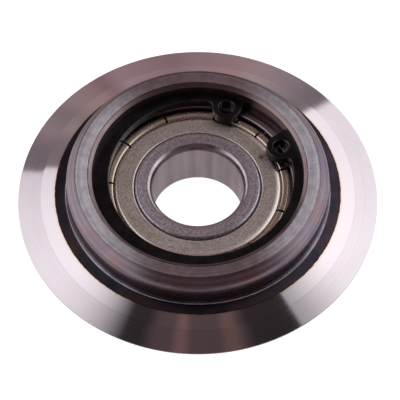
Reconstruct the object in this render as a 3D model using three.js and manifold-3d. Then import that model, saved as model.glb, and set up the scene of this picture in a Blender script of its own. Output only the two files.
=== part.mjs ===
// Cam follower track roller: a hardened steel wheel with a V-ground rim, turning on a shielded
// deep-groove ball bearing that an internal retaining ring holds in its bore.
// Millimetres. +Z is the turning axis. The origin is the wheel's centre, on the plane of its rim.

import * as THREE from "three";
import { mergeVertices } from "three/addons/utils/BufferGeometryUtils.js";
import Module from "manifold-3d";

const wasm = await Module();
wasm.setup();

// ---------------------------------------------------------------- driving dimensions

const WHEEL = {
  rimR: 24, // the sharp edge that runs on the track
  rimLandZ: 0.1, // half the height of its blunt land
  facetR: 20.95, // where the steep outer bevel meets the shallow inner one
  facetZ: 1.02,
  bandOuterR: 19, // black band left by hardening, round the foot of the hub
  bandOuterZ: 1.66,
  bandInnerR: 17.55,
  bandInnerZ: 1.89,
  hubR: 17.45,
  hubFootZ: 1.98,
  hubWallZ: 4.9,
  faceOuterR: 16.23, // flat end face of the hub
  faceInnerR: 14.43,
  faceZ: 6.25,
  boreR: 14,
  boreMouthZ: 5.86,
  shoulderR: 12.6, // hole through the shoulder under the bearing
  shoulderChamfer: 0.35,
  fitGap: 0.03, // drawn clearance between the bore and the bearing
};

const BEARING = {
  boreR: 6,
  boreChamferR: 0.45,
  boreChamferZ: 0.75,
  outerR: 14,
  halfWidth: 4,
  midZ: -0.8, // height of its middle in the wheel
  corner: 0.3,
  innerLandR: 8.4, // outside of the inner race
  outerLandR: 11.6, // inside of the outer race
  pitchR: 10,
  ballR: 4.762 / 2,
  ballCount: 8,
  grooveR: 2.45, // section of both raceway grooves
  shieldSeatR: 12.6,
  shieldSeatZ: 2.85,
  seatChamfer: 0.25,
};

const SHIELD = {
  thickness: 0.3,
  // [radius, height] along the outer surface of the sheet, from the hole to the rim
  line: [
    [8.5, 3.75],
    [10.55, 3.75],
    [10.9, 3.62],
    [11.15, 3.34],
    [11.4, 3.36],
    [11.62, 3.64],
    [11.85, 3.7],
    [12.15, 3.5],
    [12.4, 3.2],
  ],
  slotCount: 11,
  slotWidth: 0.25,
  slotInnerR: 11.35,
  slotFirstDeg: 13.5,
};

const CAGE = {
  innerR: 8.9,
  outerR: 11.1,
  sheet: 0.4,
  halfGap: 0.02, // from the mid plane to each half
  pocketR: 2.5,
  rivetR: 0.5,
  rivetHoleR: 0.62,
  rivetHeadR: 0.8,
  rivetHeadTopR: 0.56,
  rivetHeadHeight: 0.4,
  rivetHeadGap: 0.03,
};

const CLIP = {
  outerR: 14.62,
  thickness: 1.2,
  innerR: 12.26, // eccentric inner edge, so that the ring tapers towards its lugs
  innerShift: 0.66,
  lugR: 1.95,
  lugPitchR: 12.35,
  lugHalfDeg: 22.9,
  gapHalfDeg: 13.6,
  filletR: 0.8,
  holeR: 1,
  gapDirectionDeg: 48.7,
  grooveR: 14.7,
  grooveWidth: 1.3,
};

const WHEEL_SEGMENTS = 60;
const BEARING_SEGMENTS = 40;
const SMALL_SEGMENTS = 12;
const BALL_DETAIL = 2; // times each face of an icosahedron is split
const GROOVE_STEP_DEG = 14;
const CLIP_STEP_DEG = 6;
const LUG_STEP_DEG = 20;
const FILLET_STEP_DEG = 30;

// colour and roughness of each finish
const FINISH = {
  wheel: [0x9b9093, 0.3],
  phosphate: [0x1c1c1f, 0.5],
  race: [0x8f8a92, 0.25],
  shield: [0x7d7468, 0.55],
  cage: [0xa5a39c, 0.4],
  ball: [0xc9c9cc, 0.1],
  rivet: [0xb0aea8, 0.35],
};

const rad = THREE.MathUtils.degToRad;

// ---------------------------------------------------------------- shape helpers

/** Points along an arc about [cx, cy] from angle a to angle b in radians, both ends included. */
function arc([cx, cy], r, a, b, stepDeg) {
  const steps = Math.ceil(Math.abs(b - a) / rad(stepDeg));
  return Array.from({ length: steps + 1 }, (_, i) => {
    const t = a + ((b - a) * i) / steps;
    return [cx + r * Math.cos(t), cy + r * Math.sin(t)];
  });
}

/** Turns a closed half-section of [radius, height] points about the Z axis. */
function turned(section, segments) {
  const points = [...section, section[0]].map(([r, z]) => new THREE.Vector2(r, z));
  return new THREE.LatheGeometry(points, segments).rotateX(Math.PI / 2);
}

/** A flat ring between two radii and two heights. */
function ring(innerR, outerR, lowZ, highZ, segments) {
  const section = [
    [innerR, lowZ],
    [outerR, lowZ],
    [outerR, highZ],
    [innerR, highZ],
  ];
  return turned(section, segments);
}

/** The same [radius, height] points mirrored to the other side of the z = 0 plane, in reverse order. */
function mirrored(points) {
  return points.map(([r, z]) => [r, -z]).reverse();
}

/** A geometry as a solid that can be joined and cut. */
function solid(geometry) {
  const bare = geometry.clone();
  bare.deleteAttribute("normal");
  bare.deleteAttribute("uv");
  const merged = mergeVertices(bare);
  const triVerts = new Uint32Array(merged.index.array);
  const vertProperties = merged.attributes.position.array;
  return new wasm.Manifold(new wasm.Mesh({ numProp: 3, vertProperties, triVerts }));
}

/** A solid back as a geometry. */
function geometryOf(shape) {
  const { vertProperties, triVerts } = shape.getMesh();
  return new THREE.BufferGeometry()
    .setAttribute("position", new THREE.BufferAttribute(vertProperties, 3))
    .setIndex(new THREE.BufferAttribute(triVerts, 1));
}

/** A copy of a geometry moved out to a radius and turned to an angle about the Z axis. */
function placed(geometry, r, angle) {
  return geometry.clone().translate(r, 0, 0).rotateZ(angle);
}

/** The angle of each of count places round the axis, starting at first. */
function spaced(count, first = 0) {
  return Array.from({ length: count }, (_, i) => first + (2 * Math.PI * i) / count);
}

const BALL_ANGLES = spaced(BEARING.ballCount);
const RIVET_ANGLES = spaced(BEARING.ballCount, Math.PI / BEARING.ballCount);

// ---------------------------------------------------------------- wheel

/** The roller: V rim, hardened band and hub on both sides, with a stepped and grooved bore. */
function rollerBody() {
  const w = WHEEL;
  const seatZ = BEARING.midZ - BEARING.halfWidth - w.fitGap;
  const grooveZ = BEARING.midZ + BEARING.halfWidth;
  const outside = [
    [w.rimR, w.rimLandZ],
    [w.facetR, w.facetZ],
    [w.bandOuterR, w.bandOuterZ],
    [w.bandInnerR, w.bandInnerZ],
    [w.hubR, w.hubFootZ],
    [w.hubR, w.hubWallZ],
    [w.faceOuterR, w.faceZ],
  ];
  const bore = [
    [w.faceInnerR, w.faceZ],
    [w.boreR, w.boreMouthZ],
    [w.boreR, grooveZ + CLIP.grooveWidth],
    [CLIP.grooveR, grooveZ + CLIP.grooveWidth],
    [CLIP.grooveR, grooveZ],
    [w.boreR, grooveZ],
    [w.boreR, seatZ],
    [w.shoulderR, seatZ],
    [w.shoulderR, w.shoulderChamfer - w.faceZ],
    [w.shoulderR + w.shoulderChamfer, -w.faceZ],
  ];
  return turned([...outside, ...bore, ...mirrored(outside)], WHEEL_SEGMENTS);
}

/** The centre of a circle that lies at distance a from A and b from B, clockwise of the ray from B to A. */
function tangentCentre(A, B, a, b) {
  const [dx, dy] = [A[0] - B[0], A[1] - B[1]];
  const d = Math.hypot(dx, dy);
  const bend = Math.acos((b * b + d * d - a * a) / (2 * b * d));
  const t = Math.atan2(dy, dx) - bend;
  return [B[0] + b * Math.cos(t), B[1] + b * Math.sin(t)];
}

/** Edge of the retaining ring below its mirror line, from the gap round the lug to the far side. */
function clipHalfEdge() {
  const c = CLIP;
  const lugTurn = rad(c.lugHalfDeg);
  const lug = [c.lugPitchR * Math.cos(lugTurn), -c.lugPitchR * Math.sin(lugTurn)];
  const middle = [c.innerShift, 0];
  const fillet = tangentCentre(lug, middle, c.lugR + c.filletR, c.innerR - c.filletR);
  const fromLug = Math.atan2(fillet[1] - lug[1], fillet[0] - lug[0]) + 2 * Math.PI;
  const fromMiddle = Math.atan2(fillet[1], fillet[0] - middle[0]);
  return [
    ...arc(lug, c.lugR, Math.PI / 2 - lugTurn, fromLug, LUG_STEP_DEG),
    ...arc(fillet, c.filletR, fromLug - Math.PI, fromMiddle, FILLET_STEP_DEG).slice(1, -1),
    ...arc(middle, c.innerR, fromMiddle, -Math.PI, CLIP_STEP_DEG),
  ];
}

/** The internal retaining ring, with its gap towards +X and its underside at z = 0. */
function retainingRing() {
  const c = CLIP;
  const gap = rad(c.gapHalfDeg);
  const half = clipHalfEdge();
  const otherHalf = half.slice(0, -1).map(([x, y]) => [x, -y]).reverse();
  const outside = arc([0, 0], c.outerR, gap, 2 * Math.PI - gap, CLIP_STEP_DEG);
  const outline = [...outside, ...half, ...otherHalf];
  const shape = new THREE.Shape(outline.map(([x, y]) => new THREE.Vector2(x, y)));
  for (const side of [-1, 1]) {
    const turn = side * rad(c.lugHalfDeg);
    const hole = [c.lugPitchR * Math.cos(turn), c.lugPitchR * Math.sin(turn)];
    const edge = arc(hole, c.holeR, 0, -2 * Math.PI, 360 / SMALL_SEGMENTS).slice(1);
    shape.holes.push(new THREE.Path(edge.map(([x, y]) => new THREE.Vector2(x, y))));
  }
  return new THREE.ExtrudeGeometry(shape, { depth: c.thickness, bevelEnabled: false });
}

// ---------------------------------------------------------------- bearing, about its own middle

/** Height at which a raceway groove runs out at radius r. */
function grooveEdgeZ(r) {
  return Math.sqrt(BEARING.grooveR ** 2 - (BEARING.pitchR - r) ** 2);
}

/** The inner race, whose bore takes the stud. */
function innerRace() {
  const b = BEARING;
  const faceR = b.innerLandR - b.corner;
  const edge = Math.asin(grooveEdgeZ(b.innerLandR) / b.grooveR);
  const groove = arc([b.pitchR, 0], b.grooveR, Math.PI + edge, Math.PI - edge, GROOVE_STEP_DEG);
  const lower = [
    [b.boreR, b.boreChamferZ - b.halfWidth],
    [b.boreR + b.boreChamferR, -b.halfWidth],
    [faceR, -b.halfWidth],
    [b.innerLandR, b.corner - b.halfWidth],
  ];
  return turned([...lower, ...groove, ...mirrored(lower)], BEARING_SEGMENTS);
}

/** The outer race, stepped at each end for its shield. */
function outerRace() {
  const b = BEARING;
  const outsideR = b.outerR - WHEEL.fitGap;
  const edge = Math.asin(grooveEdgeZ(b.outerLandR) / b.grooveR);
  const groove = arc([b.pitchR, 0], b.grooveR, edge, -edge, GROOVE_STEP_DEG);
  const upper = [
    [outsideR, b.halfWidth - b.corner],
    [outsideR - b.corner, b.halfWidth],
    [b.shieldSeatR + b.seatChamfer, b.halfWidth],
    [b.shieldSeatR, b.halfWidth - b.seatChamfer],
    [b.shieldSeatR, b.shieldSeatZ],
    [b.outerLandR, b.shieldSeatZ],
  ];
  return turned([...upper, ...groove, ...mirrored(upper)], BEARING_SEGMENTS);
}

/** A line of [radius, height] points moved sideways by a distance, square to the line at each point. */
function offsetLine(line, distance) {
  return line.map(([r, z], i) => {
    const [r0, z0] = line[Math.max(i - 1, 0)];
    const [r1, z1] = line[Math.min(i + 1, line.length - 1)];
    const length = Math.hypot(r1 - r0, z1 - z0);
    return [r + (distance * (z1 - z0)) / length, z - (distance * (r1 - r0)) / length];
  });
}

/** The shield on the +Z side: a pressed sheet ring with crimping slots cut in from its rim. */
function shield() {
  const s = SHIELD;
  const section = [...offsetLine(s.line, s.thickness), ...[...s.line].reverse()];
  const sheet = solid(turned(section, BEARING_SEGMENTS));
  const length = BEARING.shieldSeatR - s.slotInnerR;
  const slot = new THREE.BoxGeometry(length, s.slotWidth, BEARING.halfWidth);
  slot.translate(length / 2, 0, BEARING.halfWidth);
  const angles = spaced(s.slotCount, rad(s.slotFirstDeg));
  const slots = angles.map((angle) => solid(placed(slot, s.slotInnerR, angle)));
  return geometryOf(slots.reduce((shape, cutter) => shape.subtract(cutter), sheet));
}

/** A sphere of the cage's pockets and domes. */
function pocketSphere(radius) {
  const sphere = new THREE.SphereGeometry(radius, SMALL_SEGMENTS, SMALL_SEGMENTS / 2);
  return sphere.rotateX(Math.PI / 2);
}

/** The upper half of the ribbon cage: a flat ring with a domed pocket over each ball. */
function cageHalf() {
  const c = CAGE;
  const domeR = c.pocketR + c.sheet;
  const flat = ring(c.innerR, c.outerR, c.halfGap, c.halfGap + c.sheet, BEARING_SEGMENTS);
  const envelope = ring(c.innerR, c.outerR, c.halfGap, domeR + c.sheet, BEARING_SEGMENTS);
  const hole = new THREE.CylinderGeometry(c.rivetHoleR, c.rivetHoleR, domeR, SMALL_SEGMENTS);
  hole.rotateX(Math.PI / 2);
  const around = (geometry, angles) =>
    angles.map((angle) => solid(placed(geometry, BEARING.pitchR, angle)));
  const domes = around(pocketSphere(domeR), BALL_ANGLES);
  const cuts = [...around(pocketSphere(c.pocketR), BALL_ANGLES), ...around(hole, RIVET_ANGLES)];
  const blank = domes.reduce((shape, dome) => shape.add(dome), solid(flat));
  const trimmed = blank.intersect(solid(envelope));
  return geometryOf(cuts.reduce((shape, cutter) => shape.subtract(cutter), trimmed));
}

/** A rivet that holds the two cage halves together between two balls. */
function cageRivet() {
  const c = CAGE;
  const headZ = c.halfGap + c.sheet + c.rivetHeadGap;
  const topZ = headZ + c.rivetHeadHeight;
  const section = [
    [0, -topZ],
    [c.rivetHeadTopR, -topZ],
    [c.rivetHeadR, -headZ],
    [c.rivetR, -headZ],
    [c.rivetR, headZ],
    [c.rivetHeadR, headZ],
    [c.rivetHeadTopR, topZ],
    [0, topZ],
  ];
  const points = section.map(([r, z]) => new THREE.Vector2(r, z));
  return new THREE.LatheGeometry(points, SMALL_SEGMENTS).rotateX(Math.PI / 2);
}

// ---------------------------------------------------------------- assembly

/** A named mesh with one of the finishes. */
function piece(name, geometry, [color, roughness]) {
  const material = new THREE.MeshStandardMaterial({ color, roughness, metalness: 1 });
  const mesh = new THREE.Mesh(geometry, material);
  mesh.name = name;
  return mesh;
}

const clip = piece("retaining_ring", retainingRing(), FINISH.phosphate);
clip.rotation.z = rad(CLIP.gapDirectionDeg);
clip.position.z = BEARING.midZ + BEARING.halfWidth + (CLIP.grooveWidth - CLIP.thickness) / 2;

const wheel = new THREE.Group();
wheel.add(piece("roller_body", rollerBody(), FINISH.wheel), clip);

const bearing = new THREE.Group();
bearing.position.z = BEARING.midZ;
bearing.add(piece("inner_race", innerRace(), FINISH.race), piece("outer_race", outerRace(), FINISH.race));

for (const [side, turn] of [["upper", 0], ["lower", Math.PI]]) {
  const sheets = [
    piece(`${side}_shield`, shield(), FINISH.shield),
    piece(`${side}_cage`, cageHalf(), FINISH.cage),
  ];
  for (const mesh of sheets) {
    mesh.rotation.x = turn;
    bearing.add(mesh);
  }
}

/** Stands a mesh on the bearing's pitch circle. */
function standOnPitchCircle(mesh, angle) {
  mesh.position.set(BEARING.pitchR * Math.cos(angle), BEARING.pitchR * Math.sin(angle), 0);
  bearing.add(mesh);
}

BALL_ANGLES.forEach((angle, i) => {
  const sphere = new THREE.IcosahedronGeometry(BEARING.ballR, BALL_DETAIL);
  standOnPitchCircle(piece(`ball_${i + 1}`, sphere, FINISH.ball), angle);
});

RIVET_ANGLES.forEach((angle, i) => {
  standOnPitchCircle(piece(`cage_rivet_${i + 1}`, cageRivet(), FINISH.rivet), angle);
});

const camFollower = new THREE.Group();
camFollower.add(wheel, bearing);

export default camFollower;
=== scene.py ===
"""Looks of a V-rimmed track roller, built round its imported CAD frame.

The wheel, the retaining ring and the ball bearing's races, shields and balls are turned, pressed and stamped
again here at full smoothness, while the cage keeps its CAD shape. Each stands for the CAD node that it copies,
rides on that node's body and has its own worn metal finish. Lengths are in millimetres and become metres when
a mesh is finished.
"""

import logging
import math
from collections.abc import Callable, Mapping, Sequence
from dataclasses import dataclass, field
from enum import Enum

import bmesh
import bpy
from mathutils import Matrix, Vector


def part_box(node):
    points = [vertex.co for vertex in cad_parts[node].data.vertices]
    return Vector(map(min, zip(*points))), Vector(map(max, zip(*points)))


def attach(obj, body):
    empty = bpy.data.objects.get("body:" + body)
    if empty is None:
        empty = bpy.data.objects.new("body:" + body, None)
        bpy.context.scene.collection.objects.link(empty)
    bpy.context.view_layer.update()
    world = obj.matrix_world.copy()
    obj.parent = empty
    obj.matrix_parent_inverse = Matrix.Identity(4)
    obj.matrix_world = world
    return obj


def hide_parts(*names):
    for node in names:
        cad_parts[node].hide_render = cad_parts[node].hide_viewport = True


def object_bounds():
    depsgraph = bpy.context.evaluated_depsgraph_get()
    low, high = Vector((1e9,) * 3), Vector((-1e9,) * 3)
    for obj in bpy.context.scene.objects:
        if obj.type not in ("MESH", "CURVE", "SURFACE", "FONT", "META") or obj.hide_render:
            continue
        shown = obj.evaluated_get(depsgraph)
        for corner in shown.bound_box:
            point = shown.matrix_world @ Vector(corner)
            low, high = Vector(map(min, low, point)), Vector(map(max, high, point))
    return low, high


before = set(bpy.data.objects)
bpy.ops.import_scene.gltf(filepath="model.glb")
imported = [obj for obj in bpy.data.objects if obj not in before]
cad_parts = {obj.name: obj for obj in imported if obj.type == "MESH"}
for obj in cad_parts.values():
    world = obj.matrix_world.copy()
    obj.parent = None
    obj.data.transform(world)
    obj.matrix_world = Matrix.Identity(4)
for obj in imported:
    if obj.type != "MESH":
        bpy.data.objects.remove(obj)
CAD_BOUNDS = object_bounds()

log = logging.getLogger("track_roller")

MM = 0.001
FULL_TURN = 2 * math.pi
SHARP_ANGLE = math.radians(40)
MERGE_DISTANCE = 1e-4

Colour = tuple[float, float, float]
Point = tuple[float, float]
Socket = bpy.types.NodeSocket


# ---- Shader graphs ----


class Value:
    """A number that changes over a surface: a node socket that takes part in arithmetic."""

    def __init__(self, graph: "Graph", socket: Socket) -> None:
        """Wraps one output socket of a graph."""
        self.graph = graph
        self.socket = socket

    def _math(self, operation: str, *terms: "Value | float") -> "Value":
        """Adds a Math node on the terms and returns its result."""
        node = self.graph.node("ShaderNodeMath", {"operation": operation}, dict(enumerate(terms)))
        return Value(self.graph, node.outputs[0])

    def __add__(self, other: "Value | float") -> "Value":
        """Sum."""
        return self._math("ADD", self, other)

    def __radd__(self, other: float) -> "Value":
        """Sum, with the number first."""
        return self._math("ADD", other, self)

    def __sub__(self, other: "Value | float") -> "Value":
        """Difference."""
        return self._math("SUBTRACT", self, other)

    def __rsub__(self, other: float) -> "Value":
        """Difference, with the number first."""
        return self._math("SUBTRACT", other, self)

    def __mul__(self, other: "Value | float") -> "Value":
        """Product."""
        return self._math("MULTIPLY", self, other)

    def __rmul__(self, other: float) -> "Value":
        """Product, with the number first."""
        return self._math("MULTIPLY", other, self)

    def __truediv__(self, other: "Value | float") -> "Value":
        """Quotient."""
        return self._math("DIVIDE", self, other)

    def root(self) -> "Value":
        """Square root."""
        return self._math("SQRT", self)

    def ramp(self, low: float, high: float) -> "Value":
        """Runs smoothly from 0 at low to 1 at high, which may be the smaller of the two."""
        start, end = (low, high) if low < high else (high, low)
        inputs = {"Value": self, "From Min": start, "From Max": end}
        node = self.graph.node("ShaderNodeMapRange", {"interpolation_type": "SMOOTHSTEP"}, inputs)
        eased = Value(self.graph, node.outputs["Result"])
        return eased if low < high else 1 - eased

    def between(self, low: float, high: float, soft: float) -> "Value":
        """1 between two values and 0 outside them, with edges that are soft wide."""
        return self.ramp(low - soft, low + soft) * self.ramp(high + soft, high - soft)


class Graph:
    """A node tree and the few ways in which finishes add to it."""

    NOISE_SPAN = (0.3, 0.7)

    def __init__(self, tree: bpy.types.NodeTree) -> None:
        """Empties a node tree and takes it over."""
        self.tree = tree
        tree.nodes.clear()

    def node(
        self, kind: str, settings: Mapping | None = None, sockets: Mapping | None = None
    ) -> bpy.types.Node:
        """Adds one node.

        Args:
            kind: The node's type, such as ShaderNodeMath.
            settings: Properties to set first; "stops" gives a colour ramp its (place, colour) pairs.
            sockets: Inputs by name or number, each with a Value, a socket to link, or a constant.

        Returns:
            The node.
        """
        made = self.tree.nodes.new(kind)
        for name, setting in (settings or {}).items():
            if name == "stops":
                self._set_stops(made.color_ramp, setting)
            else:
                setattr(made, name, setting)
        for name, given in (sockets or {}).items():
            source = given.socket if isinstance(given, Value) else given
            if isinstance(source, Socket):
                self.tree.links.new(source, made.inputs[name])
            else:
                made.inputs[name].default_value = self._fit(made.inputs[name], source)
        return made

    @staticmethod
    def _set_stops(ramp: bpy.types.ColorRamp, stops: Sequence[tuple[float, Colour]]) -> None:
        """Gives a colour ramp its colours."""
        while len(ramp.elements) < len(stops):
            ramp.elements.new(1.0)
        for element, (place, colour) in zip(ramp.elements, stops):
            element.position = place
            element.color = (*colour, 1.0)

    @staticmethod
    def _fit(socket: Socket, given: object) -> object:
        """Adds the alpha that a colour socket wants to a colour of three numbers."""
        wants_alpha = socket.type == "RGBA" and isinstance(given, tuple) and len(given) == 3
        return (*given, 1.0) if wants_alpha else given

    def vector(self, x: Value | float, y: Value | float, z: Value | float) -> Socket:
        """A vector of three numbers."""
        return self.node("ShaderNodeCombineXYZ", {}, {0: x, 1: y, 2: z}).outputs[0]

    def seen(self) -> Value:
        """1 for what the camera sees itself, and 0 for what it sees in a mirror."""
        return Value(self, self.node("ShaderNodeLightPath").outputs["Is Camera Ray"])

    def mix(self, share: Value | float, a: object, b: object) -> Socket:
        """Mixes two colours, given as colours or sockets: a where the share is 0, and b where it is 1."""
        settings = {"data_type": "RGBA", "clamp_factor": True}
        return self.node("ShaderNodeMix", settings, {0: share, 6: a, 7: b}).outputs[2]

    def noise(self, place: Socket, scale: float, detail: float) -> Value:
        """Fractal noise at a place, with some finer layers, stretched so that its usual span is 0 to 1."""
        inputs = {"Vector": place, "Scale": scale, "Detail": detail, "Roughness": 0.6}
        made = self.node("ShaderNodeTexNoise", {}, inputs)
        return Value(self, made.outputs[0]).ramp(*self.NOISE_SPAN)


class PieceGraph(Graph):
    """The graph of a piece's material, with the piece's own coordinates in millimetres."""

    LINE_LEAN = 1.7

    def __init__(self, name: str) -> None:
        """Makes a material of that name with an empty graph."""
        self.material = bpy.data.materials.new(name)
        self.material.use_nodes = True
        super().__init__(self.material.node_tree)
        coordinates = self.node("ShaderNodeTexCoord").outputs["Object"]
        settings = {"operation": "SCALE"}
        self.place = self.node("ShaderNodeVectorMath", settings, {0: coordinates, 3: 1 / MM}).outputs[0]
        split = self.node("ShaderNodeSeparateXYZ", {}, {0: self.place})
        self.x, self.y, self.z = (Value(self, output) for output in split.outputs)
        self.radius = (self.x * self.x + self.y * self.y).root()

    def distance(self, x: float, y: float) -> Value:
        """The distance from a line that stands on the XY plane at x and y."""
        dx, dy = self.x - x, self.y - y
        return (dx * dx + dy * dy).root()

    def lines(self, pitch: float, wander: float, detail: float = 2.0) -> Value:
        """Fine lines round the axis, as a tool or a grinding wheel leaves them.

        Args:
            pitch: The distance from line to line; one far larger than the piece leaves only streaks.
            wander: How fast the lines change on the way round.
            detail: How many finer layers they have.

        Returns:
            The lines, from 0 to 1.
        """
        across = (self.radius + self.LINE_LEAN * self.z) / pitch
        inputs = (self.x / self.radius * wander, self.y / self.radius * wander, across)
        return self.noise(self.vector(*inputs), 1.0, detail)

    def clouds(self, size: float, detail: float = 3.0) -> Value:
        """Soft patches of about that size."""
        return self.noise(self.place, 1 / size, detail)

    def specks(self, spacing: float, size: float, share: float) -> Value:
        """A mask of round specks of one radius, one in each cell of a share of the cells."""
        made = self.node("ShaderNodeTexVoronoi", {}, {"Vector": self.place, "Scale": 1 / spacing})
        chosen = Value(self, self.node("ShaderNodeSeparateColor", {}, {0: made.outputs["Color"]}).outputs[0])
        near = Value(self, made.outputs["Distance"]).ramp(size / spacing, 0.5 * size / spacing)
        return near * chosen.ramp(1 - share, 1 - share + 0.005)

    def bump(self, height: Value, depth: float) -> Socket:
        """A normal that shows relief, where a height of 1 stands for depth."""
        return self.node("ShaderNodeBump", {}, {"Height": height, "Distance": depth * MM}).outputs[0]

    def surface(
        self,
        colour: Socket,
        roughness: Value | float,
        normal: Socket,
        metallic: Value | float = 1.0,
        others: Mapping | None = None,
    ) -> bpy.types.Material:
        """Closes the graph with its shader.

        Args:
            colour: The base colour.
            roughness: The roughness.
            normal: The normal's socket.
            metallic: How metallic the surface is.
            others: The shader's other inputs.

        Returns:
            The finished material.
        """
        inputs = {"Base Color": colour, "Roughness": roughness, "Metallic": metallic, "Normal": normal}
        shader = self.node("ShaderNodeBsdfPrincipled", {}, {**inputs, **(others or {})})
        self.node("ShaderNodeOutputMaterial", {}, {0: shader.outputs[0]})
        return self.material


# ---- Finishes ----


@dataclass(frozen=True)
class TurnedSteel:
    """Steel with the fine lines of a lathe or grinding wheel, soft stains and a few specks of dust."""

    name: str
    tint: Colour
    shade: Colour
    roughness: float
    roughness_swing: float = 0.06
    pitch: float = 0.22
    depth: float = 0.0006
    wander: float = 0.25
    anisotropy: float = 0.6
    stain: Colour = (0.30, 0.20, 0.19)
    stain_share: float = 0.15
    stain_size: float = 3.0
    dust_share: float = 0.01

    def build(self) -> bpy.types.Material:
        """Makes the material."""
        graph = PieceGraph(self.name)
        lines = graph.lines(self.pitch, self.wander)
        hairs = graph.lines(self.pitch / 5, self.wander * 2, 1.0)
        stains = graph.clouds(self.stain_size) * self.stain_share
        dust = graph.specks(0.9, 0.07, self.dust_share)
        colour = graph.mix(lines * 0.7 + hairs * 0.3, self.shade, self.tint)
        colour = self.tinted(graph, graph.mix(stains, colour, self.stain))
        colour = graph.mix(dust, colour, (0.75, 0.73, 0.70))
        roughness = self.roughness + (lines - 0.5) * self.roughness_swing + dust * 0.4
        normal = graph.bump(lines * 0.6 + hairs * 0.4, self.depth)
        along_lines = {"Anisotropic": self.anisotropy, "Anisotropic Rotation": 0.25}
        return graph.surface(colour, roughness, normal, 1 - dust, along_lines)

    def tinted(self, graph: PieceGraph, colour: Socket) -> Socket:
        """Lays this finish's own marks over its colour; a plain finish has none."""
        return colour


@dataclass(frozen=True)
class GroundBevel(TurnedSteel):
    """The V rim's ground bevels, straw-coloured and nibbled where they meet the hardened band."""

    band_radius: float = 19.0
    facet_radius: float = 20.95
    facet_tint: Colour = (0.87, 0.84, 0.855)
    straw: Colour = (0.86, 0.66, 0.46)
    scale: Colour = (0.03, 0.025, 0.025)

    def tinted(self, graph: PieceGraph, colour: Socket) -> Socket:
        """Adds the straw edge and the torn line of scale inside it."""
        ragged = graph.radius + (graph.clouds(0.12, 2.0) - 0.5) * 0.04 + (graph.clouds(0.9) - 0.5) * 0.05
        heat = graph.radius.ramp(self.band_radius + 0.45, self.band_radius + 0.1) * 0.6
        scale = ragged.ramp(self.band_radius + 0.08, self.band_radius + 0.03)
        facet = graph.radius.ramp(self.facet_radius + 0.05, self.facet_radius - 0.05) * 0.8
        colour = graph.mix(facet, colour, self.facet_tint)
        return graph.mix(scale, graph.mix(heat, colour, self.straw), self.scale)


@dataclass(frozen=True)
class HubFace(TurnedSteel):
    """The hub's faced end, with thin dark edges, dust on one side and a few nicks."""

    outer_radius: float = 16.2
    inner_radius: float = 14.45
    edge_dark: Colour = (0.10, 0.075, 0.075)
    nicks: tuple[tuple[float, float, float], ...] = ((15.2, 1.9, 0.12), (14.9, 0.65, 0.15), (15.4, 4.6, 0.08))

    def tinted(self, graph: PieceGraph, colour: Socket) -> Socket:
        """Adds the edges, the nicks and the dust."""
        patchy = graph.clouds(1.5) * 0.4 + 0.5
        outer = graph.radius.ramp(self.outer_radius - 0.05, self.outer_radius + 0.02)
        inner = graph.radius.ramp(self.inner_radius + 0.16, self.inner_radius + 0.06)
        inner = inner * graph.z.ramp(0.0, 1.0)
        colour = graph.mix((outer + inner) * patchy, colour, self.edge_dark)
        for x, y, size in self.nicks:
            colour = graph.mix(graph.distance(x, y).ramp(size, size * 0.5) * 0.8, colour, self.edge_dark)
        dust = graph.specks(0.45, 0.05, 0.06) * graph.y.ramp(2.0, 9.0)
        return graph.mix(dust * 0.6, colour, (0.95, 0.93, 0.92))


@dataclass(frozen=True)
class HeatTinted(TurnedSteel):
    """Turned steel with the brown and violet films that hardening leaves in patches."""

    films: tuple[Colour, Colour] = ((0.34, 0.17, 0.13), (0.15, 0.12, 0.19))
    film_share: float = 0.5

    def tinted(self, graph: PieceGraph, colour: Socket) -> Socket:
        """Adds the films, one drifting into the other."""
        hue = graph.mix(graph.clouds(5.0, 1.0), *self.films)
        return graph.mix(graph.clouds(4.0, 2.0) * self.film_share, colour, hue)


@dataclass(frozen=True)
class PressedShield:
    """Matt, grained zinc plate with a yellow film that gathers where the sheet is bent, darkened by painted
    shade in the trough; the bend and the hole's rim carry a painted highlight.
    """

    name: str
    middle_z: float
    flat_radius: float
    zinc: Colour = (0.84, 0.76, 0.68)
    grain: Colour = (0.23, 0.197, 0.172)
    # bend is the pale colour of a painted highlight, laid on the bend's outer slope and round the hole's rim.
    bend: Colour = (0.90, 0.85, 0.79)
    crest: Colour = (0.70, 0.62, 0.50)
    # The trough's dark gold is partly yellow film and partly painted shade in the recess.
    trough_gold_and_shade: Colour = (0.32, 0.22, 0.12)
    rust: Colour = (0.09, 0.026, 0.014)
    rust_place: Point = (8.46, 4.6)
    hole_radius: float = 8.5

    def build(self) -> bpy.types.Material:
        """Makes the material."""
        graph = PieceGraph(self.name)
        grain = graph.clouds(0.18, 2.0)
        fine = graph.clouds(0.08, 1.0)
        bent = graph.radius.ramp(self.flat_radius - 0.3, self.flat_radius)
        trough = graph.radius.between(self.flat_radius + 0.44, self.flat_radius + 0.6, 0.05)
        colour = graph.mix(grain * 0.6 + fine * 0.4, self.grain, self.zinc)
        colour = graph.mix(graph.clouds(2.5) * 0.25, colour, (0.30, 0.27, 0.24))
        # Painted highlight: the hole's rim and the bend's outer slope are paled to the bend colour.
        rim = graph.radius.ramp(self.hole_radius + 0.24, self.hole_radius + 0.12)
        colour = graph.mix(bent + rim, colour, self.bend)
        raised = graph.radius.ramp(self.flat_radius + 0.45, self.flat_radius + 0.6)
        colour = graph.mix(raised, colour, self.crest)
        # Dark gold in the trough: yellow film, darkened as painted shade.
        colour = graph.mix(trough * 0.85, colour, self.trough_gold_and_shade)
        upper = graph.z.ramp(self.middle_z, self.middle_z + 0.1)
        spot = (graph.distance(*self.rust_place) + (fine - 0.5) * 0.5).ramp(0.42, 0.22) * upper
        colour = graph.mix(spot, colour, self.rust)
        roughness = 0.5 - (bent + rim) * 0.28 + grain * 0.08 + spot * 0.2
        normal = graph.bump((grain * 0.5 + fine * 0.5) * (1 - bent * 0.85), 0.009)
        return graph.surface(colour, roughness, normal, 1 - spot * 0.8)


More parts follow.
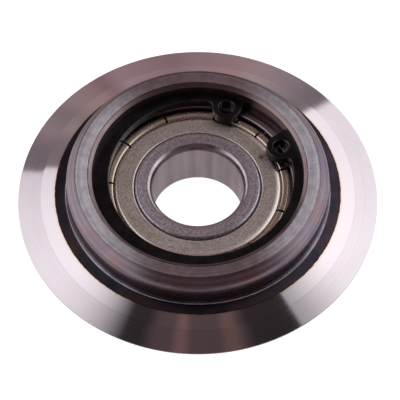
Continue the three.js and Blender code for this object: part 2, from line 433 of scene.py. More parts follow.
@dataclass(frozen=True)
class BlackPhosphate:
    """Satin black phosphate on spring steel, dusty in places and worn lighter in patches; a lighter, metallic
    copy of it on the ring's edges is a painted highlight.
    """

    name: str
    black: Colour = (0.003, 0.003, 0.004)
    wear_and_glint: Colour = (0.010, 0.009, 0.011)
    roughness: float = 0.17
    metallic: float = 0.0

    def build(self) -> bpy.types.Material:
        """Makes the material."""
        graph = PieceGraph(self.name)
        grain = graph.clouds(0.12, 2.0)
        worn = graph.clouds(1.6)
        dust = graph.specks(0.7, 0.05, 0.03)
        # On the plain material this mix is patchy wear; on the edge material it lays the painted highlight in
        # patches.
        colour = graph.mix(grain * 0.5 + worn * 0.5, self.black, self.wear_and_glint)
        colour = graph.mix(dust, colour, (0.45, 0.44, 0.42))
        normal = graph.bump(grain, 0.003)
        roughness = self.roughness + worn * 0.12 + dust * 0.3
        return graph.surface(colour, roughness, normal, self.metallic, {"Specular IOR Level": 0.3})


@dataclass(frozen=True)
class PlainSteel:
    """Bright steel without lines: polished balls, pressed cage sheet and rivets."""

    name: str
    tint: Colour
    shade: Colour
    roughness: float
    grain_size: float
    grain_depth: float

    def build(self) -> bpy.types.Material:
        """Makes the material."""
        graph = PieceGraph(self.name)
        grain = graph.clouds(self.grain_size, 2.0)
        colour = graph.mix(grain, self.shade, self.tint)
        normal = graph.bump(grain, self.grain_depth)
        return graph.surface(colour, self.roughness + grain * 0.05, normal)


# ---- Mesh work ----


@dataclass(frozen=True)
class Corner:
    """A corner of a turned section: its radius, its height and the radius that it is rounded to."""

    r: float
    z: float
    rounding: float = 0.0

    def flipped(self) -> "Corner":
        """The same corner on the other side of the middle plane."""
        return Corner(self.r, -self.z, self.rounding)


@dataclass(frozen=True)
class Span:
    """A CAD node's place at rest: its outer radius and its lowest and highest height."""

    radius: float
    bottom: float
    top: float

    @classmethod
    def of(cls, node: str) -> "Span":
        """Measures a CAD node that lies round the axis."""
        low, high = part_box(node)
        return cls(max(high.x, high.y) / MM, low.z / MM, high.z / MM)

    @property
    def middle(self) -> float:
        """The height of its middle."""
        return (self.bottom + self.top) / 2


def flipped(corners: Sequence[Corner]) -> list[Corner]:
    """Corners mirrored to the other side of the middle plane, in reverse order."""
    return [corner.flipped() for corner in reversed(corners)]


class Blank:
    """A mesh on the bench, in millimetres, with the operations that shape it."""

    ROUNDING_STEPS = 4

    def __init__(self) -> None:
        """Starts with nothing."""
        self.bm = bmesh.new()

    def section(self, corners: Sequence[Corner], closed: bool, middle: float = 0.0) -> None:
        """Draws a half-section as a wire in the XZ plane and rounds its corners.

        Args:
            corners: The corners in order.
            closed: Whether the last joins the first.
            middle: The height that theirs are measured from.
        """
        bm = self.bm
        verts = [bm.verts.new((corner.r, 0, corner.z + middle)) for corner in corners]
        pairs = zip(verts, verts[1:] + verts[:1]) if closed else zip(verts, verts[1:])
        for a, b in pairs:
            bm.edges.new((a, b))
        for corner, vert in zip(corners, verts):
            if corner.rounding:
                self.round_off([vert], corner.rounding, self.ROUNDING_STEPS, "VERTICES")

    def hold(self, width: float) -> None:
        """Adds a point near both ends of each long straight stretch, so that its shading stays flat."""
        for edge in [e for e in self.bm.edges if e.calc_length() > 3 * width]:
            a, b = edge.verts
            share = width / edge.calc_length()
            near = self.bm.verts.new(a.co.lerp(b.co, share))
            far = self.bm.verts.new(b.co.lerp(a.co, share))
            self.bm.edges.remove(edge)
            for pair in ((a, near), (near, far), (far, b)):
                self.bm.edges.new(pair)

    def turn(self, steps: int) -> None:
        """Turns the wire once round the axis and closes the seam and any pole."""
        wire = self.bm.verts[:] + self.bm.edges[:]
        about = {"cent": (0, 0, 0), "axis": (0, 0, 1), "dvec": (0, 0, 0), "angle": FULL_TURN}
        bmesh.ops.spin(self.bm, geom=wire, steps=steps, use_merge=True, use_duplicate=False, **about)
        bmesh.ops.remove_doubles(self.bm, verts=self.bm.verts, dist=MERGE_DISTANCE)

    def round_off(self, geometry: list, width: float, steps: int, affect: str) -> None:
        """Rounds corners or edges, as affect says, to a width."""
        shape = {"offset": width, "offset_type": "OFFSET", "segments": steps, "profile": 0.5}
        bmesh.ops.bevel(self.bm, geom=geometry, affect=affect, material=-1, **shape)

    def half_turn(self, height: float) -> None:
        """Turns everything upside down about the X axis at a height."""
        matrix = Matrix.Rotation(math.pi, 3, "X")
        bmesh.ops.rotate(self.bm, cent=(0, 0, height), matrix=matrix, verts=self.bm.verts)

    def paint(self, zones: Sequence[Callable[[float, float], bool]]) -> None:
        """Gives each face the number of the first zone that its middle's radius and height fall in."""
        for face in self.bm.faces:
            middle = face.calc_center_median()
            radius = math.hypot(middle.x, middle.y)
            face.material_index = next(i for i, inside in enumerate(zones) if inside(radius, middle.z))

    def finished(self, name: str, materials: Sequence[bpy.types.Material]) -> bpy.types.Object:
        """Turns the faces outwards, brings the mesh to metres and links it into the scene.

        Args:
            name: The piece's name.
            materials: Its materials, as paint() numbers them.

        Returns:
            The new object, at the origin.
        """
        bm = self.bm
        bmesh.ops.recalc_face_normals(bm, faces=bm.faces)
        bmesh.ops.scale(bm, vec=(MM, MM, MM), verts=bm.verts)
        for face in bm.faces:
            face.smooth = True
        for edge in bm.edges:
            edge.smooth = edge.is_manifold and edge.calc_face_angle() < SHARP_ANGLE
        mesh = bpy.data.meshes.new(name)
        bm.to_mesh(mesh)
        bm.free()
        for material in materials:
            mesh.materials.append(material)
        made = bpy.data.objects.new(name, mesh)
        bpy.context.scene.collection.objects.link(made)
        return made


def settle(piece: bpy.types.Object, node: str, body: str) -> bpy.types.Object:
    """Puts a finished piece in a CAD node's place.

    Args:
        piece: The new piece.
        node: The CAD node that it stands for.
        body: The CAD body that it moves with.

    Returns:
        The piece.
    """
    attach(piece, body)
    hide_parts(node)
    log.info("%s: %d faces, rides on %s", piece.name, len(piece.data.polygons), body)
    return piece


# ---- Wheel ----


@dataclass
class Wheel:
    """The roller wheel: ground V rim, hardened band, hub and stepped bore."""

    node: str = "roller_body"
    steps: int = 288
    rim_land: float = 0.09
    facet: Point = (20.95, 1.02)
    band_outer: Point = (19.0, 1.66)
    band_inner: Point = (17.66, 1.87)
    ledge_height: float = 0.15
    wall_radius: float = 17.43
    chamfer_foot: float = 4.85
    face_outer: float = 16.2
    face_inner: float = 14.45
    mark_width: float = 0.09
    mark_depth: float = 0.05
    bore_radius: float = 14.0
    mouth_height: float = 5.86
    groove_radius: float = 14.7
    groove_width: float = 1.3
    shoulder_radius: float = 12.6
    shoulder_chamfer: float = 0.35
    span: Span = field(default_factory=lambda: Span.of("roller_body"))
    race: Span = field(default_factory=lambda: Span.of("outer_race"))

    def mark(self, r: float) -> list[Corner]:
        """A fine groove that the tool leaves in the hub's face at radius r, from the outside inwards."""
        top, half = self.span.top, self.mark_width / 2
        bottom = Corner(r, top - self.mark_depth, 0.01)
        return [Corner(r + half, top, 0.015), bottom, Corner(r - half, top, 0.015)]

    def outside(self) -> list[Corner]:
        """The wheel's outside above its middle plane, from the rim to the hub's end face."""
        ledge_foot = self.band_inner[1]
        ledge_top = ledge_foot + self.ledge_height
        return [
            Corner(self.span.radius, self.rim_land, 0.03),
            Corner(*self.facet, 0.12),
            Corner(*self.band_outer, 0.05),
            Corner(*self.band_inner, 0.02),
            Corner(self.band_inner[0] - 0.06, ledge_top, 0.07),
            Corner(self.wall_radius, ledge_top - 0.02, 0.02),
            Corner(self.wall_radius, self.chamfer_foot, 0.45),
            Corner(self.face_outer + 0.12, self.span.top, 0.12),
        ]

    def bore(self) -> list[Corner]:
        """The bore, from its upper mouth down through the retaining groove and the bearing seat."""
        groove_foot = self.race.top
        groove_top = groove_foot + self.groove_width
        bottom = self.span.bottom
        return [
            Corner(self.face_inner, self.span.top, 0.04),
            Corner(self.bore_radius, self.mouth_height, 0.05),
            Corner(self.bore_radius, groove_top, 0.04),
            Corner(self.groove_radius, groove_top, 0.03),
            Corner(self.groove_radius, groove_foot, 0.03),
            Corner(self.bore_radius, groove_foot, 0.03),
            Corner(self.bore_radius, self.race.bottom - 0.03, 0.02),
            Corner(self.shoulder_radius, self.race.bottom - 0.03, 0.04),
            Corner(self.shoulder_radius, bottom + self.shoulder_chamfer, 0.05),
            Corner(self.shoulder_radius + self.shoulder_chamfer, bottom, 0.04),
        ]

    def build(self) -> bpy.types.Object:
        """Turns the wheel, zones it and dresses it."""
        blank = Blank()
        outside = self.outside()
        marks = self.mark(self.face_outer) + self.mark(self.face_inner + 0.12)
        blank.section([*outside, *marks, *self.bore(), *flipped(outside)], closed=True)
        blank.hold(0.05)
        blank.turn(self.steps)
        face = self.span.top - 0.02
        blank.paint(
            [
                lambda r, z: r > self.band_outer[0],
                lambda r, z: r > self.band_inner[0] + 0.01,
                lambda r, z: r > self.wall_radius + 0.01,
                lambda r, z: r > self.face_outer + 0.06,
                lambda r, z: abs(z) > face,
                lambda r, z: True,
            ]
        )
        piece = blank.finished("roller_wheel", [finish.build() for finish in self.finishes()])
        return settle(piece, self.node, "roller")

    def finishes(self) -> list[TurnedSteel]:
        """The wheel's finishes, in the order of its zones."""
        bevel = GroundBevel(
            "ground_bevel", tint=(0.80, 0.765, 0.79), shade=(0.76, 0.72, 0.75), roughness=0.07,
            roughness_swing=0.02, pitch=0.3, depth=0.00012, wander=0.1, anisotropy=0.3, stain_share=0.06,
            stain_size=6.0, dust_share=0.004, band_radius=self.band_outer[0],
        )
        band = HeatTinted(
            "hardened_band", tint=(0.045, 0.047, 0.064), shade=(0.024, 0.024, 0.032), roughness=0.3,
            pitch=0.4, anisotropy=0.2, dust_share=0.035, film_share=0.7,
            films=((0.088, 0.055, 0.048), (0.022, 0.030, 0.060)),
        )
        # The ledge's big dark stains are partly stains and partly painted shade, darkening it in patches.
        ledge = TurnedSteel(
            "hub_ledge", tint=(0.52, 0.53, 0.60), shade=(0.28, 0.27, 0.31), roughness=0.2, pitch=0.4,
            stain=(0.12, 0.09, 0.10), stain_share=0.6, stain_size=4.0,
        )
        chamfer = HeatTinted(
            "hub_chamfer", tint=(0.335, 0.31, 0.345), shade=(0.20, 0.18, 0.205), roughness=0.26, pitch=0.3,
            anisotropy=0.3, dust_share=0.07, films=((0.30, 0.165, 0.15), (0.15, 0.13, 0.235)), film_share=0.6,
        )
        face = HubFace(
            "hub_face", tint=(0.84, 0.86, 0.91), shade=(0.58, 0.585, 0.63), roughness=0.32, pitch=0.3,
            depth=0.0011, anisotropy=1.0, stain=(0.28, 0.24, 0.27), stain_share=0.4, stain_size=1.0,
            dust_share=0.02, outer_radius=self.face_outer, inner_radius=self.face_inner,
        )
        bore = HeatTinted(
            "hub_bore", tint=(0.38, 0.32, 0.32), shade=(0.22, 0.175, 0.17), roughness=0.28, pitch=0.3,
            films=((0.22, 0.11, 0.08), (0.14, 0.11, 0.13)),
        )
        return [bevel, band, ledge, chamfer, face, bore]


# ---- Retaining ring ----


def arc(centre: Point, radius: float, start: float, end: float, steps: int) -> list[Point]:
    """Points along an arc from one angle to another, in radians: both ends, and one at every step between."""
    angles = [start + (end - start) * i / steps for i in range(steps + 1)]
    return [(centre[0] + radius * math.cos(t), centre[1] + radius * math.sin(t)) for t in angles]


@dataclass
class RetainingRing:
    """The internal retaining ring: a tapering stamped ring with two lugs for pliers."""

    node: str = "retaining_ring"
    inner_radius: float = 12.26
    inner_shift: float = 0.66
    lug_radius: float = 1.95
    lug_pitch_radius: float = 12.35
    lug_angle: float = math.radians(22.9)
    gap_angle: float = math.radians(13.6)
    gap_direction: float = math.radians(48.7)
    fillet_radius: float = 0.8
    hole_radius: float = 1.0
    hole_chamfer: float = 0.2
    edge_rounding: float = 0.14
    burr_chamfer: float = 0.05
    hold_width: float = 0.07
    span: Span = field(default_factory=lambda: Span.of("retaining_ring"))
    outer_radius: float = 14.62

    def lug(self, side: int) -> Point:
        """The centre of the lug above (1) or below (-1) the ring's mirror line."""
        turn = side * self.lug_angle
        return self.lug_pitch_radius * math.cos(turn), self.lug_pitch_radius * math.sin(turn)

    def fillet(self, lug: Point) -> tuple[Point, float, float]:
        """The fillet between a lug and the ring's inner edge.

        Args:
            lug: The lug's centre.

        Returns:
            The fillet's centre, and the directions to it from the lug and from the inner edge's centre.
        """
        from_lug = self.lug_radius + self.fillet_radius
        from_middle = self.inner_radius - self.fillet_radius
        dx, dy = lug[0] - self.inner_shift, lug[1]
        apart = math.hypot(dx, dy)
        bend = math.acos((from_middle**2 + apart**2 - from_lug**2) / (2 * from_middle * apart))
        turn = math.atan2(dy, dx) - bend
        centre = (self.inner_shift + from_middle * math.cos(turn), from_middle * math.sin(turn))
        seen = math.atan2(centre[1] - lug[1], centre[0] - lug[0]) + FULL_TURN
        return centre, seen, turn

    def half_edge(self, inset: float) -> list[Point]:
        """The outline below the ring's mirror line, from the gap round the lug to the far side."""
        lug = self.lug(-1)
        centre, seen, turn = self.fillet(lug)
        start = math.pi / 2 - self.lug_angle
        return [
            *arc(lug, self.lug_radius - inset, start, seen, 26),
            *arc(centre, self.fillet_radius + inset, seen - math.pi, turn, 10)[1:-1],
            *arc((self.inner_shift, 0.0), self.inner_radius + inset, turn, -math.pi, 72),
        ]

    def outline(self, inset: float) -> list[Point]:
        """The whole outline, drawn in by an inset, with the gap towards +X."""
        half = self.half_edge(inset)
        other = [(x, -y) for x, y in reversed(half[:-1])]
        radius = self.outer_radius - inset
        gap = self.gap_angle + inset / radius
        return [*arc((0.0, 0.0), radius, gap, FULL_TURN - gap, 144), *half, *other]

    def hole(self, side: int, inset: float) -> list[Point]:
        """One lug's hole, widened by an inset."""
        return arc(self.lug(side), self.hole_radius + inset, 0.0, FULL_TURN, 36)[:-1]

    def levels(self, rounding: float) -> list[Point]:
        """The (height, inset) pairs of a wall, with a chamfer at its bottom and a round at its top."""
        bottom, top = self.span.bottom, self.span.top
        round_steps = [math.pi / 2 * i / 4 for i in range(1, 5)]
        rounded = [(top - rounding * (1 - math.sin(t)), rounding * (1 - math.cos(t))) for t in round_steps]
        return [
            (bottom, self.burr_chamfer + self.hold_width),
            (bottom, self.burr_chamfer),
            (bottom + self.burr_chamfer, 0.0),
            (top - rounding - self.hold_width, 0.0),
            (top - rounding, 0.0),
            *rounded,
            (top, rounding + self.hold_width),
        ]

    def wall(self, blank: Blank, shape: Callable[[float], list[Point]], rounding: float) -> list[list]:
        """Raises the wall of one closed outline.

        Args:
            blank: The mesh to work in.
            shape: Gives the outline for an inset.
            rounding: The size of the upper edge's round.

        Returns:
            The edges of its lowest and its highest loop.
        """
        bm = blank.bm
        place = bm.verts.layers.int.get("place") or bm.verts.layers.int.new("place")
        (height, inset), *others = self.levels(rounding)
        verts = []
        for number, (x, y) in enumerate(shape(inset)):
            vert = bm.verts.new((x, y, height))
            vert[place] = number
            verts.append(vert)
        lowest = [bm.edges.new(pair) for pair in zip(verts, verts[1:] + verts[:1])]
        loop = lowest
        for height, inset in others:
            points = shape(inset)
            made = bmesh.ops.extrude_edge_only(bm, edges=loop)["geom"]
            for vert in (g for g in made if isinstance(g, bmesh.types.BMVert)):
                vert.co = (*points[vert[place]], height)
            loop = [g for g in made if isinstance(g, bmesh.types.BMEdge) and all(v in made for v in g.verts)]
        return [lowest, loop]

    def build(self) -> bpy.types.Object:
        """Stamps the ring, turns its gap to its place and dresses it."""
        blank = Blank()
        walls = [self.wall(blank, self.outline, self.edge_rounding)]
        for side in (-1, 1):
            walls.append(self.wall(blank, lambda inset, s=side: self.hole(s, inset), self.hole_chamfer))
        for ends in zip(*walls):
            edges = [edge for loop in ends for edge in loop]
            bmesh.ops.triangle_fill(blank.bm, use_beauty=True, edges=edges)
        matrix = Matrix.Rotation(self.gap_direction, 3, "Z")
        bmesh.ops.rotate(blank.bm, cent=(0, 0, 0), matrix=matrix, verts=blank.bm.verts)
        blank.bm.normal_update()
        # Sloping faces, on the rounded and chamfered edges, take the edge material: a painted highlight along
        # the ring's edges.
        for face in blank.bm.faces:
            face.material_index = int(0.2 < abs(face.normal.z) < 0.97)
        # The edge material is a painted highlight: a lighter, metallic black that glints along the ring's
        # edges.
        wear_and_glint = BlackPhosphate("edge_glint", (0.02, 0.018, 0.02), (0.16, 0.15, 0.16), 0.25, 1.0)
        finishes = [BlackPhosphate("black_phosphate"), wear_and_glint]
        piece = blank.finished("snap_ring", [finish.build() for finish in finishes])
        return settle(piece, self.node, "roller")


# ---- Ball bearing ----


class Side(Enum):
    """A side of the bearing, by its word in the names of pieces and nodes."""

    UPPER = "upper"
    LOWER = "lower"


@dataclass
class BallBearing:
    """The shielded deep-groove bearing, drawn about its own middle plane."""

    HOLE_STEPS = 3

    steps: int = 240
    bore_radius: float = 6.0
    bore_chamfer: Point = (0.45, 0.7)
    bore_rounding: float = 0.28
    inner_land: float = 8.38
    outer_land: float = 11.6
    corner: float = 0.3
    pitch_radius: float = 10.0
    groove_radius: float = 2.45
    groove_steps: int = 16
    shield_seat: Point = (12.6, 2.85)
    seat_chamfer: float = 0.14
    sheet: float = 0.3
    shield_hole: float = 8.5
    hole_rounding: float = 0.13
    shield_flat: Point = (10.6, 3.75)
    slot_inner: float = 11.12
    slot_width: float = 0.3
    slot_count: int = 11
    slot_first: float = math.radians(13.5)
    ball_count: int = 8
    race: Span = field(default_factory=lambda: Span.of("outer_race"))

    @property
    def half_width(self) -> float:
        """Half the width of the races."""
        return (self.race.top - self.race.bottom) / 2

    def groove(self, land: float, inward: bool) -> list[Corner]:
        """The section of the raceway in a land, cut towards the axis or away from it."""
        edge = math.acos(abs(self.pitch_radius - land) / self.groove_radius)
        facing = math.pi if inward else 0.0
        centre = (self.pitch_radius, 0.0)
        points = arc(centre, self.groove_radius, facing + edge, facing - edge, self.groove_steps)
        return [Corner(*point) for point in points]

    def inner_race(self) -> bpy.types.Object:
        """Turns the inner race."""
        half = self.half_width
        wide, deep = self.bore_chamfer
        lower = [
            Corner(self.bore_radius, deep - half, self.bore_rounding),
            Corner(self.bore_radius + wide, -half, self.bore_rounding),
            Corner(self.inner_land, -half, self.corner),
        ]
        blank = Blank()
        section = [*lower, *self.groove(self.inner_land, True), *flipped(lower)]
        blank.section(section, True, self.race.middle)
        blank.hold(0.05)
        blank.turn(self.steps)
        face = self.bore_radius + wide + self.bore_rounding
        blank.paint([lambda r, z: r > face, lambda r, z: True])
        ground = TurnedSteel(
            "race_face", tint=(0.88, 0.85, 0.93), shade=(0.53, 0.51, 0.56), roughness=0.36, pitch=0.2,
            anisotropy=0.2, stain=(0.16, 0.14, 0.155), stain_share=0.6, stain_size=0.35,
        )
        bright = TurnedSteel(
            "race_bore", tint=(0.62, 0.585, 0.615), shade=(0.42, 0.385, 0.405), roughness=0.22, pitch=60.0,
            depth=0.0003, wander=3.0, anisotropy=0.4, stain_share=0.1,
        )
        piece = blank.finished("bearing_inner_race", [ground.build(), bright.build()])
        return settle(piece, "inner_race", "inner_ring")

    def outer_race(self) -> bpy.types.Object:
        """Turns the outer race, stepped at each end for its shield."""
        half = self.half_width
        seat_radius, seat_height = self.shield_seat
        upper = [
            Corner(self.race.radius, half, self.corner),
            Corner(seat_radius + self.seat_chamfer, half, 0.04),
            Corner(seat_radius, half - self.seat_chamfer, 0.04),
            Corner(seat_radius, seat_height, 0.05),
            Corner(self.outer_land, seat_height, 0.08),
        ]
        blank = Blank()
        section = [*upper, *self.groove(self.outer_land, False), *flipped(upper)]
        blank.section(section, True, self.race.middle)
        blank.hold(0.05)
        blank.turn(self.steps)
        finish = TurnedSteel("outer_race_steel", (0.34, 0.30, 0.315), (0.20, 0.175, 0.185), 0.2, pitch=0.2)
        piece = blank.finished("bearing_outer_race", [finish.build()])
        return settle(piece, "outer_race", "roller")

    def cut_slots(self, blank: Blank) -> None:
        """Cuts the crimping slots into a shield's rim."""
        bm = blank.bm
        half = self.slot_width / 2
        for number in range(self.slot_count):
            angle = self.slot_first + FULL_TURN * number / self.slot_count
            along = Vector((math.cos(angle), math.sin(angle), 0))
            across = Vector((-math.sin(angle), math.cos(angle), 0))
            for side in (-half, half):
                near = [f for f in bm.faces if self._by_slot(f, along, across, 4 * half)]
                parts = {part for face in near for part in (face, *face.edges, *face.verts)}
                bmesh.ops.bisect_plane(bm, geom=list(parts), plane_co=across * side, plane_no=across)
            gone = [f for f in bm.faces if self._by_slot(f, along, across, half)]
            bmesh.ops.delete(bm, geom=gone, context="FACES")

    def _by_slot(self, face: bmesh.types.BMFace, along: Vector, across: Vector, reach: float) -> bool:
        """Whether a face of a shield's rim lies within a reach of a slot's middle line."""
        middle = face.calc_center_median()
        outside = math.hypot(middle.x, middle.y) > self.slot_inner
        return outside and middle.dot(along) > 0 and abs(middle.dot(across)) < reach

    def shield(self, side: Side) -> bpy.types.Object:
        """Presses a shield: a flat, a trough and a crest, slotted at the rim, in sheet of one thickness."""
        flat_radius, flat_height = self.shield_flat
        blank = Blank()
        line = [
            Corner(self.shield_hole, flat_height),
            Corner(self.shield_hole + 0.25, flat_height),
            Corner(flat_radius - 0.6, flat_height),
            Corner(flat_radius, flat_height, 0.22),
            Corner(11.0, 3.66, 0.1),
            Corner(11.07, 3.38, 0.03),
            Corner(self.slot_inner, 3.38),
            Corner(11.33, 3.62, 0.1),
            Corner(12.05, 3.66, 0.15),
            Corner(12.4, 3.3),
        ]
        blank.section(line, False, self.race.middle)
        blank.turn(self.slot_count * 24)
        self.cut_slots(blank)
        bm = blank.bm
        bmesh.ops.recalc_face_normals(bm, faces=bm.faces)
        if sum(face.normal.z for face in bm.faces) < 0:
            bmesh.ops.reverse_faces(bm, faces=bm.faces)
        bmesh.ops.solidify(bm, geom=bm.faces[:], thickness=self.sheet)
        top = self.race.middle + flat_height
        rim = [e for e in bm.edges if self._on_hole(e, top)]
        blank.round_off(rim, self.hole_rounding, self.HOLE_STEPS, "EDGES")
        if side is Side.LOWER:
            blank.half_turn(self.race.middle)
        finish = PressedShield(f"{side.value}_shield_zinc", self.race.middle, flat_radius)
        piece = blank.finished(f"{side.value}_dust_shield", [finish.build()])
        return settle(piece, f"{side.value}_shield", "roller")

    def _on_hole(self, edge: bmesh.types.BMEdge, top: float) -> bool:
        """Whether an edge lies on the upper rim of a shield's hole."""
        near = [math.hypot(v.co.x, v.co.y) < self.shield_hole + 0.01 for v in edge.verts]
        return all(near) and all(abs(v.co.z - top) < 0.01 for v in edge.verts)

    def ball(self, number: int, material: bpy.types.Material) -> bpy.types.Object:
        """Makes one ball in its CAD node's place."""
        node = f"ball_{number}"
        low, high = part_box(node)
        blank = Blank()
        radius = (high.z - low.z) / 2 / MM
        bmesh.ops.create_uvsphere(blank.bm, u_segments=48, v_segments=24, radius=radius)
        bmesh.ops.translate(blank.bm, vec=(low + high) / 2 / MM, verts=blank.bm.verts)
        piece = blank.finished(f"bearing_{node}", [material])
        return settle(piece, node, node)

    def build(self) -> list[bpy.types.Object]:
        """Makes every piece of the bearing and dresses the cage, which keeps its CAD shape."""
        pieces = [self.inner_race(), self.outer_race()]
        pieces += [self.shield(side) for side in Side]
        polished = PlainSteel("ball_polish", (0.8, 0.8, 0.82), (0.72, 0.72, 0.74), 0.06, 1.5, 0.0002).build()
        pieces += [self.ball(number + 1, polished) for number in range(self.ball_count)]
        self.dress_cage()
        return pieces

    def dress_cage(self) -> None:
        """Gives the cage halves and rivets their finishes."""
        pressed = PlainSteel("cage_pressing", (0.58, 0.56, 0.52), (0.42, 0.4, 0.37), 0.35, 0.4, 0.002).build()
        headed = PlainSteel("rivet_steel", (0.66, 0.64, 0.6), (0.5, 0.48, 0.45), 0.3, 0.3, 0.002).build()
        for name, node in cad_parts.items():
            if "cage" in name:
                node.data.materials.clear()
                node.data.materials.append(headed if "rivet" in name else pressed)


# ---- Studio ----


@dataclass(frozen=True)
class Panel:
    """A tall soft panel beside the object, dimmer towards its top and so far off that only directions count.

    A direction's lean is how far it runs back, and its climb how far it rises, for each step to the side.
    """

    side: int
    front: float
    front_fade: float
    back: float
    back_fade: float
    top: float
    top_fade: float
    dim_from: float
    dim_to: float
    dimmest: float
    near: Colour
    far: Colour
    top_slant: float = 1.88

    def light(self, graph: Graph, lean: Value, climb: Value) -> Socket:
        """The panel's colour in a direction, given by its lean and climb."""
        lit = graph.mix(lean.ramp(0.4, 1.8), self.near, self.far)
        dimness = (climb - lean * self.top_slant).ramp(self.dim_from, self.dim_to) * (1 - self.dimmest)
        return graph.mix(dimness, lit, (0.0, 0.0, 0.0))

    def mask(self, lean: Value, climb: Value, x: Value) -> Value:
        """1 in the directions that meet the panel and 0 elsewhere, from a direction's lean, climb and x."""
        ahead = lean.ramp(self.front - self.front_fade, self.front + self.front_fade)
        behind = lean.ramp(self.back + self.back_fade, self.back - self.back_fade)
        height = climb - lean * self.top_slant
        below = height.ramp(self.top + self.top_fade, self.top - self.top_fade)
        return ahead * behind * below * (x * self.side).ramp(0.0, 0.01)


@dataclass(frozen=True)
class Glimpse:
    """A faint warm strip that the ceiling shows in polished steel."""

    left: float
    right: float
    fade: float
    colour: Colour


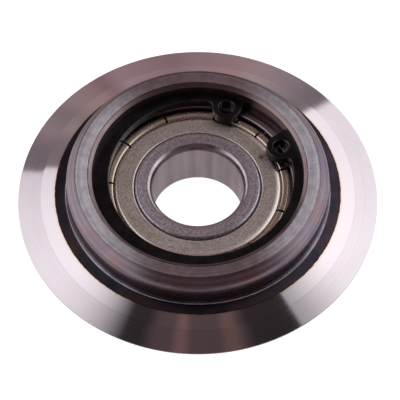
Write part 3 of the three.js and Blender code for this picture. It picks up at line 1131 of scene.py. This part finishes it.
@dataclass
class Studio:
    """A white table between two tall soft panels, under a dark ceiling, and a long lens looking down."""

    panels: tuple[Panel, ...] = (
        Panel(
            side=-1, front=-1.1, front_fade=0.7, back=1.275, back_fade=0.015, top=3.8, top_fade=0.3,
            dim_from=0.9, dim_to=4.1, dimmest=0.0, near=(1.06, 1.0, 1.05), far=(0.70, 0.64, 0.69),
        ),
        Panel(
            side=1, front=-0.4, front_fade=0.6, back=2.44, back_fade=0.1, top=2.43, top_fade=0.06,
            dim_from=0.5, dim_to=2.4, dimmest=0.36, near=(1.20, 1.14, 1.18), far=(1.02, 0.95, 1.0),
        ),
    )
    glimpses: tuple[Glimpse, ...] = (
        Glimpse(-0.085, -0.04, 0.02, (0.175, 0.097, 0.097)),
        Glimpse(0.095, 0.15, 0.015, (0.14, 0.084, 0.078)),
    )
    back_wall: tuple[tuple[float, Colour], ...] = (
        (0.05, (0.20, 0.16, 0.18)), (0.085, (0.31, 0.235, 0.25)),
        (0.135, (0.24, 0.19, 0.185)), (0.175, (0.33, 0.235, 0.24)),
        (0.22, (0.31, 0.215, 0.215)), (0.25, (0.245, 0.15, 0.16)),
        (0.295, (0.34, 0.24, 0.255)), (0.385, (0.30, 0.195, 0.21)),
        (0.434, (0.26, 0.18, 0.185)), (0.50, (0.31, 0.21, 0.218)),
        (0.60, (0.35, 0.226, 0.235)), (0.66, (0.37, 0.28, 0.285)),
        (0.756, (0.27, 0.215, 0.24)), (0.80, (0.20, 0.17, 0.18)),
    )
    front_wall: Colour = (0.13, 0.08, 0.085)
    ceiling_middle: Colour = (0.085, 0.058, 0.062)
    ceiling_sides: Colour = (0.029, 0.023, 0.026)
    ceiling_back: Colour = (0.32, 0.20, 0.18)
    floor_size: float = 3.0
    floor_gap: float = 0.02
    floor_bright: Colour = (1.0, 1.0, 1.0)
    # Painted glow that the floor shows only in reflections: dim near the part, brighter to the sides and under
    # the bore.
    floor_glow_near: Colour = (0.05, 0.04, 0.04)
    floor_glow_aside: Colour = (0.70, 0.64, 0.68)
    floor_glow_under_bore: Colour = (0.34, 0.30, 0.31)
    elevation: float = math.radians(57.14)
    distance: float = 0.384
    focal_length: float = 258.5
    shift: Point = (0.0056, -0.0048)

    def floor(self) -> bpy.types.Object:
        """Lays the white table top, lit from within so that no shadow shows on it; in reflections it shows a
        painted glow instead.
        """
        blank = Blank()
        bmesh.ops.create_grid(blank.bm, x_segments=8, y_segments=8, size=self.floor_size / MM)
        height = CAD_BOUNDS[0].z / MM - self.floor_gap
        bmesh.ops.translate(blank.bm, vec=(0, 0, height), verts=blank.bm.verts)
        graph = PieceGraph("table_top")
        grain = graph.clouds(2.0)
        colour = graph.mix(grain, (0.52, 0.50, 0.50), (0.56, 0.54, 0.54))
        aside = (graph.x * graph.x).root()
        glowing = graph.mix(aside.ramp(14.0, 60.0), self.floor_glow_near, self.floor_glow_aside)
        glowing = graph.mix(graph.radius.ramp(14.0, 11.0), glowing, self.floor_glow_under_bore)
        glow = {"Emission Color": graph.mix(graph.seen(), glowing, self.floor_bright), "Emission Strength": 1.0}
        material = graph.surface(colour, 0.8, graph.bump(grain, 0.01), 0.0, glow)
        made = blank.finished("table_top", [material])
        return made

    def surroundings(self) -> None:
        """Fills the room with its walls, ceiling and panels; only air is seen as plain white."""
        world = bpy.data.worlds.new("studio_room")
        bpy.context.scene.world = world
        world.use_nodes = True
        graph = Graph(world.node_tree)
        direction = graph.node("ShaderNodeTexCoord").outputs["Generated"]
        split = graph.node("ShaderNodeSeparateXYZ", {}, {0: direction})
        x, y, z = (Value(graph, output) for output in split.outputs)
        aside = (x * x).root() + 0.0001
        back = graph.node("ShaderNodeValToRGB", {"stops": self.back_wall}, {0: x + 0.5}).outputs[0]
        walls = graph.mix(y.ramp(-0.3, 0.3), self.front_wall, back)
        ceiling = graph.mix(aside.ramp(0.15, 0.21), self.ceiling_middle, self.ceiling_sides)
        ceiling = graph.mix(y.ramp(0.12, 0.30) * z.ramp(0.90, 0.95), ceiling, self.ceiling_back)
        for glimpse in self.glimpses:
            ceiling = graph.mix(x.between(glimpse.left, glimpse.right, glimpse.fade), ceiling, glimpse.colour)
        room = graph.mix(z.ramp(0.62, 0.86), walls, ceiling)
        lean, climb = y / aside, z / aside
        for panel in self.panels:
            room = graph.mix(panel.mask(lean, climb, x), room, panel.light(graph, lean, climb))
        shown = graph.mix(graph.seen(), room, (1.0, 1.0, 1.0))
        background = graph.node("ShaderNodeBackground", {}, {0: shown, 1: 1.0})
        graph.node("ShaderNodeOutputWorld", {}, {0: background.outputs[0]})

    def camera(self) -> None:
        """Stands the camera in front of the object and above it, looking at the middle of its rim."""
        lens = bpy.data.cameras.new("lens")
        lens.lens = self.focal_length
        lens.shift_x, lens.shift_y = self.shift
        made = bpy.data.objects.new("camera", lens)
        back = Vector((0, -math.cos(self.elevation), math.sin(self.elevation)))
        made.location = back * self.distance
        made.rotation_euler = (-back).to_track_quat("-Z", "Y").to_euler()
        bpy.context.scene.collection.objects.link(made)
        bpy.context.scene.camera = made

    def build(self) -> None:
        """Sets everything up round the object."""
        self.camera()
        self.floor()
        self.surroundings()
        bpy.context.scene.view_settings.view_transform = "Standard"
        log.info("studio: %d panels", len(self.panels))


# ---- The whole part ----


def main() -> None:
    """Builds the studio and the part, and reports each piece."""
    logging.basicConfig(level=logging.INFO, format="%(name)s: %(message)s")
    Studio().build()
    Wheel().build()
    RetainingRing().build()
    bearing = BallBearing().build()
    log.info("bearing: %d new pieces", len(bearing))


if __name__ == "__main__":
    main()
